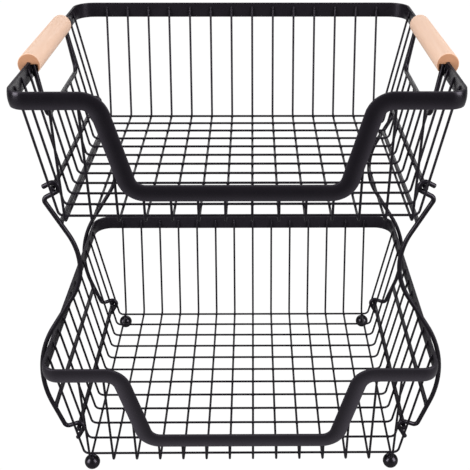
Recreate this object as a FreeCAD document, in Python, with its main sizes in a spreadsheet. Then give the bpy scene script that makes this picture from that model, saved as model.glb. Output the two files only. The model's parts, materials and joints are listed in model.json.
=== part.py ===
import FreeCAD, Part
import math
import os

import Sketcher

# Two-tier wire basket: two wire trays with leaning walls and a dipped flat rim, held one
# above the other by a hooked side frame at each end. +X right, +Y back, +Z up, millimetres;
# the origin is on the ground, midway between the four ball feet.
V = FreeCAD.Vector
doc = FreeCAD.newDocument("tiered_wire_basket")

SIZES = {
    # stock and clearances
    "wire_dia": 2.5,
    "rod_dia": 4.8,
    "weld_gap": 0.05,
    "hook_gap": 0.35,
    "cut_overrun": 5.0,
    # floor grid of one tray, measured on the wire centre lines
    "long_pitch": 25.0,
    "cross_pitch": 26.3,
    "side_base": 169.7,
    "end_base": 154.0,
    "wall_lean": 11.9,
    "front_lean": 8.0,
    "wire_bend": 6.0,
    # flat rim, heights above the centre line of the cross wires of the floor
    "rim_top": 129.8,
    "band_width": 16.3,
    "band_thick": 2.5,
    "rim_corner": 17.5,
    "shell_foot": 9.0,
    "dip_drop": 91.8,
    "dip_half": 98.5,
    "dip_lean": 14.2,
    "dip_bend": 18.0,
    # hand holes and wooden grips of the upper tray
    "hand_level": 76.0,
    "hand_bend": 9.0,
    "hand_arm_drop": 2.5,
    "grip_dia": 21.5,
    "grip_lip": 0.5,
    "grip_edge": 1.2,
    "band_rise": 2.4,
    "slot_side_gap": 0.5,
    "notch_gap": 0.8,
    # tiers, feet and hook rails
    "tier_pitch": 284.0,
    "foot_dia": 16.5,
    "foot_seat": 0.8,
    "rail_level": 20.0,
    "rail_lip": 2.6,
    # side frames, set a little to the back; heights above the lower tray's cross wires
    "frame_back": 8.0,
    "leg_half": 132.0,
    "waist_half": 159.2,
    "waist_level": 221.0,
    "waist_share": 0.8,
    "bulge_drop": 40.5,
    "bulge_radius": 109.0,
    "top_lean": 29.0,
    "foot_lean": 20.0,
    "leg_bend": 4.4,
    "top_tilt": 28.0,
    "foot_tilt": 20.0,
    "stub_tilt": 60.0,
    "top_stub": 8.0,
    "foot_stub": 14.5,
    "top_bar_level": 266.0,
    "foot_bar_level": 46.0,
}
LONG_PAIRS = 7
CROSS_PAIRS = 6
HAND_HOLE_PITCHES = 3

sheet = doc.addObject("Spreadsheet::Sheet", "Sizes")
for row, (alias, value) in enumerate(SIZES.items(), 1):
    cell = "B%d" % row
    sheet.set("A%d" % row, alias)
    sheet.set(cell, str(value))
    sheet.setAlias(cell, alias)
doc.recompute()


def size(alias):
    return float(sheet.get(alias))


def tangent(alias):
    return math.tan(math.radians(size(alias)))


# Places that several pieces share, each once as an expression on the sheet
LEAN_RUN = "tan(Sizes.wall_lean)"
LEAN_COS = "cos(Sizes.wall_lean)"
FLOOR = "(Sizes.foot_dia - Sizes.foot_seat + 2 * Sizes.weld_gap + 1.5 * Sizes.wire_dia)"
UPPER_FLOOR = "(%s + Sizes.tier_pitch)" % FLOOR
LONG_LEVEL = "(-Sizes.wire_dia - Sizes.weld_gap)"
LEVEL_WELD = "(Sizes.rim_top - Sizes.band_width / 2)"
LOW_WELD = "(Sizes.rim_top - Sizes.dip_drop - Sizes.band_width / 2)"
WIRE_END_OUT = "%s * %s + Sizes.wire_dia / 2 * %s" % (LEAN_RUN, LEVEL_WELD, LEAN_COS)
SIDE_FACE = "(Sizes.side_base + %s + Sizes.weld_gap)" % WIRE_END_OUT
BACK_FACE = "(Sizes.end_base + %s + Sizes.weld_gap)" % WIRE_END_OUT
RIM_HALF = "(%s + Sizes.band_thick)" % SIDE_FACE
HAND_HALF = "(%d * Sizes.cross_pitch)" % HAND_HOLE_PITCHES
HAND_TOP = "(Sizes.rim_top - Sizes.hand_arm_drop)"
HAND_TOP_OUT = "(%s - Sizes.weld_gap - Sizes.rod_dia / 2)" % SIDE_FACE
HAND_BAR_OUT = "(Sizes.side_base + %s * Sizes.hand_level)" % LEAN_RUN
HAND_RUN = "((%s - %s) / (%s - Sizes.hand_level))" % (HAND_TOP_OUT, HAND_BAR_OUT, HAND_TOP)
RAIL_OFF = "((Sizes.wire_dia / 2 + Sizes.weld_gap + Sizes.rod_dia / 2) / %s)" % LEAN_COS
RAIL_HALF = "(Sizes.side_base + %s * Sizes.rail_level + %s)" % (LEAN_RUN, RAIL_OFF)
TIERS = {"lower": FLOOR, "upper": UPPER_FLOOR}

# Legs: the bulge just clears the rim's top outer edge, and the waist takes its share of the
# radius that is left when the two bends meet in one S
BULGE_LEVEL = "(Sizes.rim_top - Sizes.bulge_drop)"
BULGE_INSIDE = "(Sizes.bulge_radius - Sizes.rod_dia / 2 - Sizes.hook_gap)"
BULGE_CENTRE = "(%s - sqrt(%s ^ 2 - Sizes.bulge_drop ^ 2))" % (RIM_HALF, BULGE_INSIDE)
BULGE_HALF = "(%s + Sizes.bulge_radius)" % BULGE_CENTRE
S_WIDTH = "(%s - Sizes.waist_half)" % BULGE_HALF
S_HEIGHT = "(Sizes.waist_level - %s)" % BULGE_LEVEL
S_RADII = "((%s ^ 2 + %s ^ 2) / (2 * %s))" % (S_WIDTH, S_HEIGHT, S_WIDTH)
WAIST_RADIUS = "(Sizes.waist_share * (%s - Sizes.bulge_radius))" % S_RADII


def value_of(expression):
    """Number that an expression on the sheet comes to."""
    result = sheet.evalExpression(expression)
    return float(getattr(result, "Value", result))


def origin_of(body, role):
    return [f for f in body.Origin.OriginFeatures if f.Role == role][0]


def new_body(label, level="0"):
    body = doc.addObject("PartDesign::Body", label)
    body.Label = label
    body.AllowCompound = True
    body.setExpression("Placement.Base.z", level)
    return body


def sketch_on(body, name, role, offset="0"):
    sketch = body.newObject("Sketcher::SketchObject", name)
    sketch.AttachmentSupport = [(origin_of(body, role), "")]
    sketch.MapMode = "FlatFace"
    sketch.setExpression("AttachmentOffset.Base.z", offset)
    return sketch


def bind(sketch, kind, where, expression):
    """Adds a driving dimension and ties it to the sheet."""
    start = value_of(expression)
    if kind == "Angle":
        start = math.radians(start)
    index = sketch.addConstraint(Sketcher.Constraint(kind, *where, start))
    sketch.setExpression("Constraints[%d]" % index, expression)


def place(sketch, geo, point, x_expression, y_expression):
    """Dimensions a sketch point from the sketch origin."""
    bind(sketch, "DistanceX", (-1, 1, geo, point), x_expression)
    bind(sketch, "DistanceY", (-1, 1, geo, point), y_expression)


def bent_path(sketch, corners, radii):
    """Straight runs joined by tangent bends: returns (geometry, first point, last point)."""
    corners = [V(x, y, 0) for x, y in corners]
    runs = []
    last = corners[0]
    for before, corner, after, radius in zip(corners, corners[1:], corners[2:], radii):
        back = (before - corner).normalize()
        ahead = (after - corner).normalize()
        half = math.acos(back.dot(ahead)) / 2
        first = corner + back * (radius / math.tan(half))
        second = corner + ahead * (radius / math.tan(half))
        centre = corner + (back + ahead).normalize() * (radius / math.sin(half))
        left = ahead.cross(back).z > 0
        line = sketch.addGeometry(Part.LineSegment(last, first))
        runs.append((line, 1, 2))
        low, high = (first, second) if left else (second, first)
        start = math.atan2(low.y - centre.y, low.x - centre.x)
        stop = math.atan2(high.y - centre.y, high.x - centre.x)
        stop += 2 * math.pi if stop < start else 0
        circle = Part.Circle(centre, V(0, 0, 1), radius)
        arc = sketch.addGeometry(Part.ArcOfCircle(circle, start, stop))
        runs.append((arc, 1, 2) if left else (arc, 2, 1))
        last = second
    runs.append((sketch.addGeometry(Part.LineSegment(last, corners[-1])), 1, 2))
    for one, two in zip(runs, runs[1:]):
        sketch.addConstraint(Sketcher.Constraint("Tangent", one[0], one[2], two[0], two[1]))
    return runs


def round_bar(body, path, diameter):
    """Round stock swept along a path."""
    section = body.newObject("Sketcher::SketchObject", body.Label + "_section")
    section.AttachmentSupport = [(path, "Edge1")]
    section.MapMode = "NormalToEdge"
    circle = section.addGeometry(Part.Circle(V(0, 0, 0), V(0, 0, 1), size(diameter) / 2))
    section.addConstraint(Sketcher.Constraint("Coincident", circle, 3, -1, 1))
    bind(section, "Diameter", (circle,), "Sizes." + diameter)
    pipe = body.newObject("PartDesign::AdditivePipe", body.Label + "_bar")
    pipe.Profile = section
    pipe.Spine = (path, [])
    return pipe


def wire_pair(label, level, plane, axis, half_spread, base, leans, floor, ends):
    """Two equal U wires, one each side of the middle: wall, floor and wall in one bend."""
    body = new_body(label, level)
    towards_start = {"YZ_Plane": "-", "XZ_Plane": ""}[plane]
    path = sketch_on(body, label + "_path", plane, towards_start + half_spread)
    runs = [tangent(lean) for lean in leans]
    half = size(base)
    low = value_of(floor)
    tops = [value_of(end) for end in ends]
    corners = [
        (-half - runs[0] * tops[0], tops[0]),
        (-half - runs[0] * low, low),
        (half + runs[1] * low, low),
        (half + runs[1] * tops[1], tops[1]),
    ]
    wall_a, bend_a, flat, bend_b, wall_b = bent_path(path, corners, [size("wire_bend")] * 2)
    reach = "Sizes.%s + tan(Sizes.%s) * %s"
    place(path, wall_a[0], 1, "-(%s)" % (reach % (base, leans[0], ends[0])), ends[0])
    place(path, wall_b[0], 2, reach % (base, leans[1], ends[1]), ends[1])
    bind(path, "DistanceY", (-1, 1, flat[0], 1), floor)
    path.addConstraint(Sketcher.Constraint("Horizontal", flat[0]))
    bind(path, "Radius", (bend_a[0],), "Sizes.wire_bend")
    bind(path, "Radius", (bend_b[0],), "Sizes.wire_bend")
    bind(path, "Angle", (wall_a[0],), "Sizes.%s * 1 deg - 90 deg" % leans[0])
    bind(path, "Angle", (wall_b[0],), "90 deg - Sizes.%s * 1 deg" % leans[1])
    pipe = round_bar(body, path, "wire_dia")
    pair = body.newObject("PartDesign::LinearPattern", label + "_pair")
    pair.Originals = [pipe]
    pair.Direction = (origin_of(body, axis), [""])
    pair.setExpression("Length", "2 * " + half_spread)
    pair.Occurrences = 2
    body.Tip = pair
    return body


def front_weld(number):
    """Height at which a floor-length wire meets the dipped front of the rim."""
    off_centre = "((%d - 0.5) * Sizes.long_pitch)" % number
    x = value_of(off_centre)
    shoulder = size("dip_half") + tangent("dip_lean") * size("dip_drop")
    if x < size("dip_half"):
        return LOW_WELD
    if x > shoulder:
        return LEVEL_WELD
    lap = "(%s - Sizes.dip_half - Sizes.band_width / 3)" % off_centre
    return "(%s + %s / tan(Sizes.dip_lean))" % (LOW_WELD, lap)


def long_wires(tier, level):
    """Wires that run back wall, floor, front wall, with the floor wires of the other way on them."""
    for number in range(1, LONG_PAIRS + 1):
        spread = "((%d - 0.5) * Sizes.long_pitch)" % number
        wire_pair(
            "%s_long_wires_%d" % (tier, number), level, "YZ_Plane", "X_Axis", spread,
            "end_base", ("front_lean", "wall_lean"), LONG_LEVEL, (front_weld(number), LEVEL_WELD),
        )


def cross_wires(tier, level):
    """Wires that run left wall, floor, right wall; at a hand hole they stop under its bar."""
    under_bar = "(Sizes.hand_level - (Sizes.rod_dia / 2 + Sizes.weld_gap) * %s)" % LEAN_COS
    for number in range(1, CROSS_PAIRS + 1):
        spread = "((%d - 0.5) * Sizes.cross_pitch)" % number
        short = tier == "upper" and number <= HAND_HOLE_PITCHES
        end = under_bar if short else LEVEL_WELD
        wire_pair(
            "%s_cross_wires_%d" % (tier, number), level, "XZ_Plane", "Y_Axis", spread,
            "side_base", ("wall_lean", "wall_lean"), "0", (end, end),
        )


def front_face(level, skin):
    """How far the front of the rim stands out at one height, at a depth of skin in the band."""
    touch = "(Sizes.wire_dia / 2 + Sizes.weld_gap + %s)" % skin
    return "(Sizes.end_base + tan(Sizes.front_lean) * %s + %s / cos(Sizes.front_lean))" % (level, touch)


def rim_outline(body, name, level, skin):
    """Rim outline at one height: upright at sides and back, leaning with the wall at the front."""
    sketch = sketch_on(body, name, "XY_Plane", level)
    half_x = "(%s + %s)" % (SIDE_FACE, skin)
    back_y = "(%s + %s)" % (BACK_FACE, skin)
    front_y = front_face(level, skin)
    radius = "(Sizes.rim_corner - Sizes.band_thick + %s)" % skin
    x, yb, yf, r = (value_of(e) for e in (half_x, back_y, front_y, radius))
    lines = [
        ((x, r - yf), (x, yb - r)),
        ((x - r, yb), (r - x, yb)),
        ((-x, yb - r), (-x, r - yf)),
        ((r - x, -yf), (x - r, -yf)),
    ]
    centres = [(x - r, yb - r), (r - x, yb - r), (r - x, r - yf), (x - r, r - yf)]
    sides = []
    quarter = math.pi / 2
    for number, ((start, stop), centre) in enumerate(zip(lines, centres)):
        side = sketch.addGeometry(Part.LineSegment(V(*start, 0), V(*stop, 0)))
        circle = Part.Circle(V(*centre, 0), V(0, 0, 1), r)
        arc = Part.ArcOfCircle(circle, number * quarter, (number + 1) * quarter)
        sides.append((side, sketch.addGeometry(arc)))
    for number, (side, bend) in enumerate(sides):
        following = sides[(number + 1) % len(sides)][0]
        sketch.addConstraint(Sketcher.Constraint("Tangent", side, 2, bend, 1))
        sketch.addConstraint(Sketcher.Constraint("Tangent", bend, 2, following, 1))
        bind(sketch, "Radius", (bend,), radius)
    bind(sketch, "DistanceX", (-1, 1, sides[0][0], 1), half_x)
    bind(sketch, "DistanceY", (-1, 1, sides[1][0], 1), back_y)
    bind(sketch, "DistanceX", (-1, 1, sides[2][0], 1), "-" + half_x)
    bind(sketch, "DistanceY", (-1, 1, sides[3][0], 1), "-" + front_y)
    sketch.addConstraint(Sketcher.Constraint("Vertical", sides[0][0]))
    return sketch


def dip_cut(body, name, edge, low_bend, high_bend, outside):
    """Half of the region above or below the front band, bounded by one edge of the dip."""
    sketch = sketch_on(body, name, "XZ_Plane")
    step = "(1 / cos(Sizes.dip_lean) - tan(Sizes.dip_lean))"
    foot = "(Sizes.dip_half - %s * %s)" % (edge, step)
    low = "(%s + %s)" % (LOW_WELD, edge)
    high = "(%s + %s)" % (LEVEL_WELD, edge)
    far = "(%s + Sizes.cut_overrun)" % RIM_HALF
    slope = tangent("dip_lean")
    x0, z0, z1, x1 = value_of(foot), value_of(low), value_of(high), value_of(far)
    corners = [(0, z0), (x0, z0), (x0 + slope * (z1 - z0), z1), (x1, z1)]
    bends = [value_of(low_bend), value_of(high_bend)]
    flat, low_arc, side, high_arc, top = bent_path(sketch, corners, bends)
    zb = value_of(outside)
    rest = [V(x1, z1, 0), V(x1, zb, 0), V(0, zb, 0), V(0, z0, 0)]
    box = [sketch.addGeometry(Part.LineSegment(a, b)) for a, b in zip(rest, rest[1:])]
    chain = [top[0]] + box + [flat[0]]
    for one, two in zip(chain, chain[1:]):
        sketch.addConstraint(Sketcher.Constraint("Coincident", one, 2, two, 1))
    for line in (flat[0], top[0], box[1]):
        sketch.addConstraint(Sketcher.Constraint("Horizontal", line))
    for line in (box[0], box[2]):
        sketch.addConstraint(Sketcher.Constraint("Vertical", line))
    sketch.addConstraint(Sketcher.Constraint("PointOnObject", flat[0], 1, -2))
    bind(sketch, "Radius", (low_arc[0],), low_bend)
    bind(sketch, "Radius", (high_arc[0],), high_bend)
    bind(sketch, "Angle", (side[0],), "90 deg - Sizes.dip_lean * 1 deg")
    reach = "%s * tan((90 deg - Sizes.dip_lean * 1 deg) / 2)" % low_bend
    bind(sketch, "DistanceX", (-1, 1, low_arc[0], 3), "%s - %s" % (foot, reach))
    bind(sketch, "DistanceY", (-1, 1, flat[0], 1), low)
    bind(sketch, "DistanceY", (-1, 1, top[0], 2), high)
    bind(sketch, "DistanceX", (-1, 1, box[0], 2), far)
    bind(sketch, "DistanceY", (-1, 1, box[1], 2), outside)
    return sketch


def box_sketch(sketch, x_low, x_high, y_low, y_high):
    """Rectangle between four dimensioned sides."""
    x0, x1, y0, y1 = (value_of(e) for e in (x_low, x_high, y_low, y_high))
    ring = [V(x0, y0, 0), V(x1, y0, 0), V(x1, y1, 0), V(x0, y1, 0)]
    edges = [sketch.addGeometry(Part.LineSegment(a, b)) for a, b in zip(ring, ring[1:] + ring[:1])]
    for one, two in zip(edges, edges[1:] + edges[:1]):
        sketch.addConstraint(Sketcher.Constraint("Coincident", one, 2, two, 1))
    for edge, way in zip(edges, ("Horizontal", "Vertical") * 2):
        sketch.addConstraint(Sketcher.Constraint(way, edge))
    place(sketch, edges[0], 1, x_low, y_low)
    place(sketch, edges[2], 1, x_high, y_high)


def cut_half(body, sketch, reach, towards_front):
    """Cuts a profile away on the front or the back half of the shell, left and right alike."""
    pocket = body.newObject("PartDesign::Pocket", sketch.Label + "_cut")
    pocket.Profile = sketch
    pocket.Type = 0
    pocket.setExpression("Length", reach + " + Sizes.cut_overrun")
    pocket.Reversed = towards_front
    both = body.newObject("PartDesign::Mirrored", sketch.Label + "_both")
    both.Originals = [pocket]
    both.MirrorPlane = (origin_of(body, "YZ_Plane"), [""])
    body.Tip = both


def rim(tier, level):
    """Flat band: level at back and sides, dipped at the front where it leans with the wall."""
    label = tier + "_rim"
    body = new_body(label, level)
    heights = ("Sizes.rim_top", "Sizes.shell_foot")
    for kind, name, skin in (
        ("AdditiveLoft", "skin", "Sizes.band_thick"),
        ("SubtractiveLoft", "hollow", "0"),
    ):
        loft = body.newObject("PartDesign::" + kind, "%s_%s" % (label, name))
        sections = [
            rim_outline(body, "%s_%s_%d" % (label, name, number), height, skin)
            for number, height in enumerate(heights)
        ]
        loft.Profile = sections[0]
        loft.Sections = sections[1:]
        loft.Ruled = True
    half_band = "(Sizes.band_width / 2)"
    wide = "(Sizes.dip_bend + %s)" % half_band
    tight = "(Sizes.dip_bend - %s)" % half_band
    roof = "(Sizes.rim_top + Sizes.cut_overrun)"
    cellar = "(Sizes.shell_foot - Sizes.cut_overrun)"
    front = front_face("Sizes.rim_top", "Sizes.band_thick")
    above = dip_cut(body, label + "_above", half_band, tight, wide, roof)
    cut_half(body, above, front, True)
    below = dip_cut(body, label + "_below", "(-%s)" % half_band, wide, tight, cellar)
    cut_half(body, below, front, True)
    back = sketch_on(body, label + "_back", "XZ_Plane")
    far = "(%s + Sizes.cut_overrun)" % RIM_HALF
    box_sketch(back, "0", far, cellar, "(%s - %s)" % (LEVEL_WELD, half_band))
    cut_half(body, back, "(%s + Sizes.band_thick)" % BACK_FACE, False)
    return body


def rail(tier, side, level):
    """Bar along the outside of a side wall that the frame hooks hold."""
    bar = doc.addObject("Part::Cylinder", "%s_%s_rail" % (tier, side))
    sign = -1 if side == "left" else 1
    half_length = "(Sizes.leg_half + Sizes.rod_dia / 2 + Sizes.rail_lip)"
    bar.setExpression("Radius", "Sizes.rod_dia / 2")
    bar.setExpression("Height", "2 * " + half_length)
    bar.Placement.Rotation = FreeCAD.Rotation(V(1, 0, 0), 90)
    bar.setExpression("Placement.Base.x", "%d * %s" % (sign, RAIL_HALF))
    bar.setExpression("Placement.Base.y", "Sizes.frame_back + " + half_length)
    bar.setExpression("Placement.Base.z", "%s + Sizes.rail_level" % level)
    return bar


def hand_frame(side):
    """Rod frame of a hand hole: two arms on the inside of the band and a bar on the wire ends."""
    label = "upper_%s_hand_frame" % side
    body = new_body(label, "%s + Sizes.hand_level" % UPPER_FLOOR)
    sign = -1 if side == "left" else 1
    lean = math.atan(value_of(HAND_RUN))
    body.setExpression("Placement.Base.x", "%d * %s" % (sign, HAND_BAR_OUT))
    body.Placement.Rotation = FreeCAD.Rotation(V(0, 1, 0), sign * math.degrees(lean))
    path = sketch_on(body, label + "_path", "YZ_Plane")
    top = "((%s - Sizes.hand_level) / cos(atan(%s)))" % (HAND_TOP, HAND_RUN)
    half, high = value_of(HAND_HALF), value_of(top)
    corners = [(-half, high), (-half, 0), (half, 0), (half, high)]
    arm_a, bend_a, flat, bend_b, arm_b = bent_path(path, corners, [size("hand_bend")] * 2)
    place(path, arm_a[0], 1, "-" + HAND_HALF, top)
    place(path, arm_b[0], 2, HAND_HALF, top)
    path.addConstraint(Sketcher.Constraint("PointOnObject", flat[0], 1, -1))
    path.addConstraint(Sketcher.Constraint("Horizontal", flat[0]))
    path.addConstraint(Sketcher.Constraint("Vertical", arm_a[0]))
    path.addConstraint(Sketcher.Constraint("Vertical", arm_b[0]))
    bind(path, "Radius", (bend_a[0],), "Sizes.hand_bend")
    bind(path, "Radius", (bend_b[0],), "Sizes.hand_bend")
    round_bar(body, path, "rod_dia")
    return body


def grip(side):
    """Wooden cylinder slotted from below over the side band, notched for the arms at its ends."""
    label = "upper_%s_grip" % side
    body = new_body(label, UPPER_FLOOR)
    sign = -1 if side == "left" else 1
    body.setExpression("Placement.Base.x", "%d * (%s + Sizes.band_thick / 2)" % (sign, SIDE_FACE))
    axis_up = "(Sizes.rim_top - Sizes.band_rise)"
    half_length = "(%s + Sizes.rod_dia / 2 + Sizes.grip_lip)" % HAND_HALF
    round_face = sketch_on(body, label + "_round", "XZ_Plane")
    centre = V(0, value_of(axis_up), 0)
    disc = round_face.addGeometry(Part.Circle(centre, V(0, 0, 1), size("grip_dia") / 2))
    place(round_face, disc, 3, "0", axis_up)
    bind(round_face, "Diameter", (disc,), "Sizes.grip_dia")
    stick = body.newObject("PartDesign::Pad", label + "_stick")
    stick.Profile = round_face
    stick.setExpression("Length", "2 * " + half_length)
    stick.Midplane = True
    doc.recompute()
    soft = body.newObject("PartDesign::Fillet", label + "_edges")
    rims = ["Edge%d" % n for n, e in enumerate(stick.Shape.Edges, 1) if len(e.Vertexes) == 1]
    soft.Base = (stick, rims)
    soft.setExpression("Radius", "Sizes.grip_edge")
    under = "(%s - Sizes.grip_dia / 2 - Sizes.cut_overrun)" % axis_up
    slot_half = "(Sizes.band_thick / 2 + Sizes.slot_side_gap)"
    slot = sketch_on(body, label + "_slot", "XZ_Plane")
    box_sketch(slot, "-" + slot_half, slot_half, under, "Sizes.rim_top + Sizes.weld_gap")
    groove = body.newObject("PartDesign::Pocket", label + "_groove")
    groove.Profile = slot
    groove.Midplane = True
    groove.setExpression("Length", "2 * (%s + Sizes.cut_overrun)" % half_length)
    lean_room = "(%s * (%s - %s + Sizes.grip_dia / 2))" % (HAND_RUN, HAND_TOP, axis_up)
    arm_far = "(Sizes.band_thick / 2 + Sizes.weld_gap + Sizes.rod_dia + Sizes.notch_gap + %s)" % lean_room
    notch = sketch_on(body, label + "_notch", "XZ_Plane", half_length)
    box_sketch(notch, "%d * %s" % (-sign, arm_far), "0", under, "%s + Sizes.notch_gap" % HAND_TOP)
    seat = body.newObject("PartDesign::Pocket", label + "_seat")
    seat.Profile = notch
    seat.setExpression("Length", "Sizes.rod_dia + Sizes.grip_lip + Sizes.notch_gap")
    seats = body.newObject("PartDesign::Mirrored", label + "_seats")
    seats.Originals = [seat]
    seats.MirrorPlane = (origin_of(body, "XZ_Plane"), [""])
    body.Tip = seats
    return body


def leg(side, end):
    """Side frame rod: hook, waist under the upper tray, bulge round the lower rim, hook."""
    label = "%s_%s_leg" % (side, end)
    body = new_body(label, FLOOR)
    sign = -1 if side == "left" else 1
    way = -1 if end == "front" else 1
    body.setExpression("Placement.Base.y", "Sizes.frame_back + %d * Sizes.leg_half" % way)
    path = sketch_on(body, label + "_path", "XZ_Plane")
    curl = "(Sizes.rod_dia + Sizes.hook_gap)"

    def outward(alias):
        tilt = math.radians(size(alias))
        return V(math.cos(tilt), -math.sin(tilt), 0), V(math.sin(tilt), math.cos(tilt), 0)

    top_out, top_up = outward("top_tilt")
    foot_out, foot_up = outward("foot_tilt")
    stub_out, stub_up = outward("stub_tilt")
    top, foot = (math.radians(size(a)) for a in ("top_lean", "foot_lean"))
    rail_x, radius = value_of(RAIL_HALF), value_of(curl)
    high = V(rail_x, size("tier_pitch") + size("rail_level"), 0)
    low = V(rail_x, size("rail_level"), 0)
    waist_r, bulge_r = value_of(WAIST_RADIUS), size("bulge_radius")
    waist = V(size("waist_half") + waist_r, size("waist_level"), 0)
    bulge = V(value_of(BULGE_CENTRE), value_of(BULGE_LEVEL), 0)
    rise = V(math.sin(top), math.cos(top), 0)
    fall = V(-math.sin(foot), -math.cos(foot), 0)
    above = waist + V(-math.cos(top), math.sin(top), 0) * waist_r
    below = bulge + V(math.cos(foot), -math.sin(foot), 0) * bulge_r
    span = bulge - waist
    aside = math.atan2(span.y, span.x) - math.acos((waist_r + bulge_r) / span.Length)
    spoke = V(math.cos(aside), math.sin(aside), 0)
    leave, meet = waist + spoke * waist_r, bulge - spoke * bulge_r

    def crossing(a, along_a, b, along_b):
        gap = b - a
        det = along_a.x * -along_b.y + along_a.y * along_b.x
        return a + along_a * ((gap.x * -along_b.y + gap.y * along_b.x) / det)

    arm_top, arm_low = high - top_up * radius, low + foot_up * radius
    bend = size("leg_bend")
    top_corner = crossing(arm_top, top_out, above, rise)
    foot_corner = crossing(arm_low, foot_out, below, fall)

    def bend_points(corner, one, two):
        half = math.acos(one.dot(two)) / 2
        cut = bend / math.tan(half)
        centre = corner + (one + two).normalize() * (bend / math.sin(half))
        return corner + one * cut, corner + two * cut, centre

    top_start, top_end, top_centre = bend_points(top_corner, top_out * -1, rise * -1)
    foot_start, foot_end, foot_centre = bend_points(foot_corner, fall * -1, foot_out * -1)
    stub_high, stub_low = high + top_up * radius, low - stub_up * radius
    points = [
        (stub_high + top_out * size("top_stub"), stub_high),
        (high, stub_high, arm_top, 1),
        (arm_top, top_start),
        (top_centre, top_start, top_end, -1),
        (top_end, above),
        (waist, above, leave, 1),
        (leave, meet),
        (bulge, meet, below, -1),
        (below, foot_start),
        (foot_centre, foot_start, foot_end, -1),
        (foot_end, arm_low),
        (low, arm_low, stub_low, 1),
        (stub_low, stub_low + stub_out * size("foot_stub")),
    ]
    runs = []
    for item in points:
        if len(item) == 2:
            start, stop = (V(sign * p.x, p.y, 0) for p in item)
            runs.append((path.addGeometry(Part.LineSegment(start, stop)), 1, 2))
            continue
        centre, start, stop = (V(sign * p.x, p.y, 0) for p in item[:3])
        left = item[3] * sign > 0
        first, second = (start, stop) if left else (stop, start)
        a0 = math.atan2(first.y - centre.y, first.x - centre.x)
        a1 = math.atan2(second.y - centre.y, second.x - centre.x)
        a1 += 2 * math.pi if a1 < a0 else 0
        circle = Part.Circle(centre, V(0, 0, 1), (first - centre).Length)
        arc = path.addGeometry(Part.ArcOfCircle(circle, a0, a1))
        runs.append((arc, 1, 2) if left else (arc, 2, 1))
    for one, two in zip(runs, runs[1:]):
        path.addConstraint(Sketcher.Constraint("Tangent", one[0], one[2], two[0], two[1]))
    ids = [run[0] for run in runs]
    flip = "%d * " % sign
    place(path, ids[1], 3, flip + RAIL_HALF, "Sizes.tier_pitch + Sizes.rail_level")
    place(path, ids[11], 3, flip + RAIL_HALF, "Sizes.rail_level")
    place(path, ids[5], 3, flip + "(Sizes.waist_half + %s)" % WAIST_RADIUS, "Sizes.waist_level")
    place(path, ids[7], 3, flip + BULGE_CENTRE, BULGE_LEVEL)
    for arc, radius_name in (
        (1, curl), (3, "Sizes.leg_bend"), (5, WAIST_RADIUS), (7, "Sizes.bulge_radius"),
        (9, "Sizes.leg_bend"), (11, curl),
    ):
        bind(path, "Radius", (ids[arc],), radius_name)
    bind(path, "Distance", (ids[0],), "Sizes.top_stub")
    bind(path, "Distance", (ids[12],), "Sizes.foot_stub")
    leans = {
        0: "top_tilt", 2: "top_tilt", 4: "top_lean",
        8: "foot_lean", 10: "foot_tilt", 12: "stub_tilt",
    }
    for line, lean in leans.items():
        shape = path.Geometry[ids[line]]
        way = shape.EndPoint - shape.StartPoint
        heading = math.degrees(math.atan2(way.y, way.x))
        quarter = 90 * round((heading - size(lean)) / 90)
        turn = "Sizes.%s * 1 deg" % lean
        if abs(quarter + size(lean) - heading) > 1:
            quarter = 90 * round((heading + size(lean)) / 90)
            turn = "-" + turn
        bind(path, "Angle", (ids[line],), "%d deg + %s" % (quarter, turn))
    round_bar(body, path, "rod_dia")
    return body


def crossbar(side, name, level, out):
    """Bar welded between the front and rear legs of one side frame."""
    bar = doc.addObject("Part::Cylinder", "%s_%s_crossbar" % (side, name))
    sign = -1 if side == "left" else 1
    half_length = "(Sizes.leg_half - Sizes.rod_dia / 2 - Sizes.weld_gap)"
    bar.setExpression("Radius", "Sizes.rod_dia / 2")
    bar.setExpression("Height", "2 * " + half_length)
    bar.Placement.Rotation = FreeCAD.Rotation(V(1, 0, 0), 90)
    bar.setExpression("Placement.Base.x", "%d * %s" % (sign, out))
    bar.setExpression("Placement.Base.y", "Sizes.frame_back + " + half_length)
    bar.setExpression("Placement.Base.z", "%s + %s" % (FLOOR, level))
    return bar


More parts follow.
